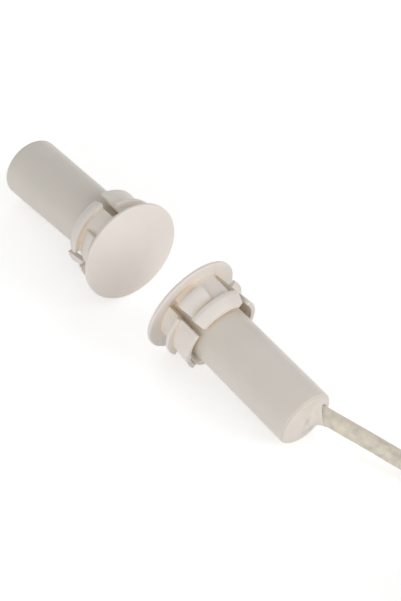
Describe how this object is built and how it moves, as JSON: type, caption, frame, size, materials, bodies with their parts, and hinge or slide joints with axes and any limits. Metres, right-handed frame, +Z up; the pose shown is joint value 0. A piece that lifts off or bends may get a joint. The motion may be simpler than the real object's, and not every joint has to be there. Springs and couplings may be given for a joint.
{
  "type": "recessed magnetic contact",
  "caption": "Recessed magnetic door contact: flanged snap-in collars hold a potted magnet capsule and a potted reed switch capsule with a jacketed lead.",
  "frame": {"origin": "bottom centre of the two halves' box, lead left out, on the surface they lie on", "axes": "+X from the magnet half to the switch half along the switch capsule, +Z up"},
  "size_m": [0.2364, 0.028, 0.0248],
  "materials": {
    "collar_plastic": "fine satin moulding, warm off-white",
    "tube_plastic": "fine satin moulding, warm off-white",
    "magnet_metal": "nickel-plated sintered magnet",
    "foam": "closed-cell polyethylene foam",
    "resin": "smooth cream potting resin",
    "reed_glass": "clear green-tinted glass",
    "reed_metal": "nickel-iron wire",
    "board": "bare glass-fibre laminate",
    "copper": "etched copper foil",
    "solder": "tin solder",
    "core_white": "soft insulation",
    "core_yellow": "soft insulation",
    "core_green": "soft insulation",
    "core_brown": "soft insulation",
    "cable_jacket": "slightly milky flexible jacket",
    "tie": "nylon band"
  },
  "bodies": {
    "root": {"magnet_collar": "collar_plastic", "magnet_tube": "tube_plastic", "magnet": "magnet_metal", "magnet_spacer": "foam", "magnet_resin": "resin", "switch_collar": "collar_plastic", "switch_tube": "tube_plastic", "switch_resin": "resin", "reed_glass": "reed_glass", "reed_blade_front": "reed_metal", "reed_blade_tail": "reed_metal", "reed_board": "board", "board_tracks": "copper", "reed_solder": "solder", "core_solder": "solder", "core_white": "core_white", "core_yellow": "core_yellow", "core_green": "core_green", "core_brown": "core_brown", "cable": "cable_jacket", "cable_hank": "cable_jacket", "hank_tie": "tie", "end_core_white": "core_white", "end_core_yellow": "core_yellow", "end_core_green": "core_green", "end_core_brown": "core_brown", "end_strand_white": "solder", "end_strand_yellow": "solder", "end_strand_green": "solder", "end_strand_brown": "solder"}
  },
  "joints": []
}
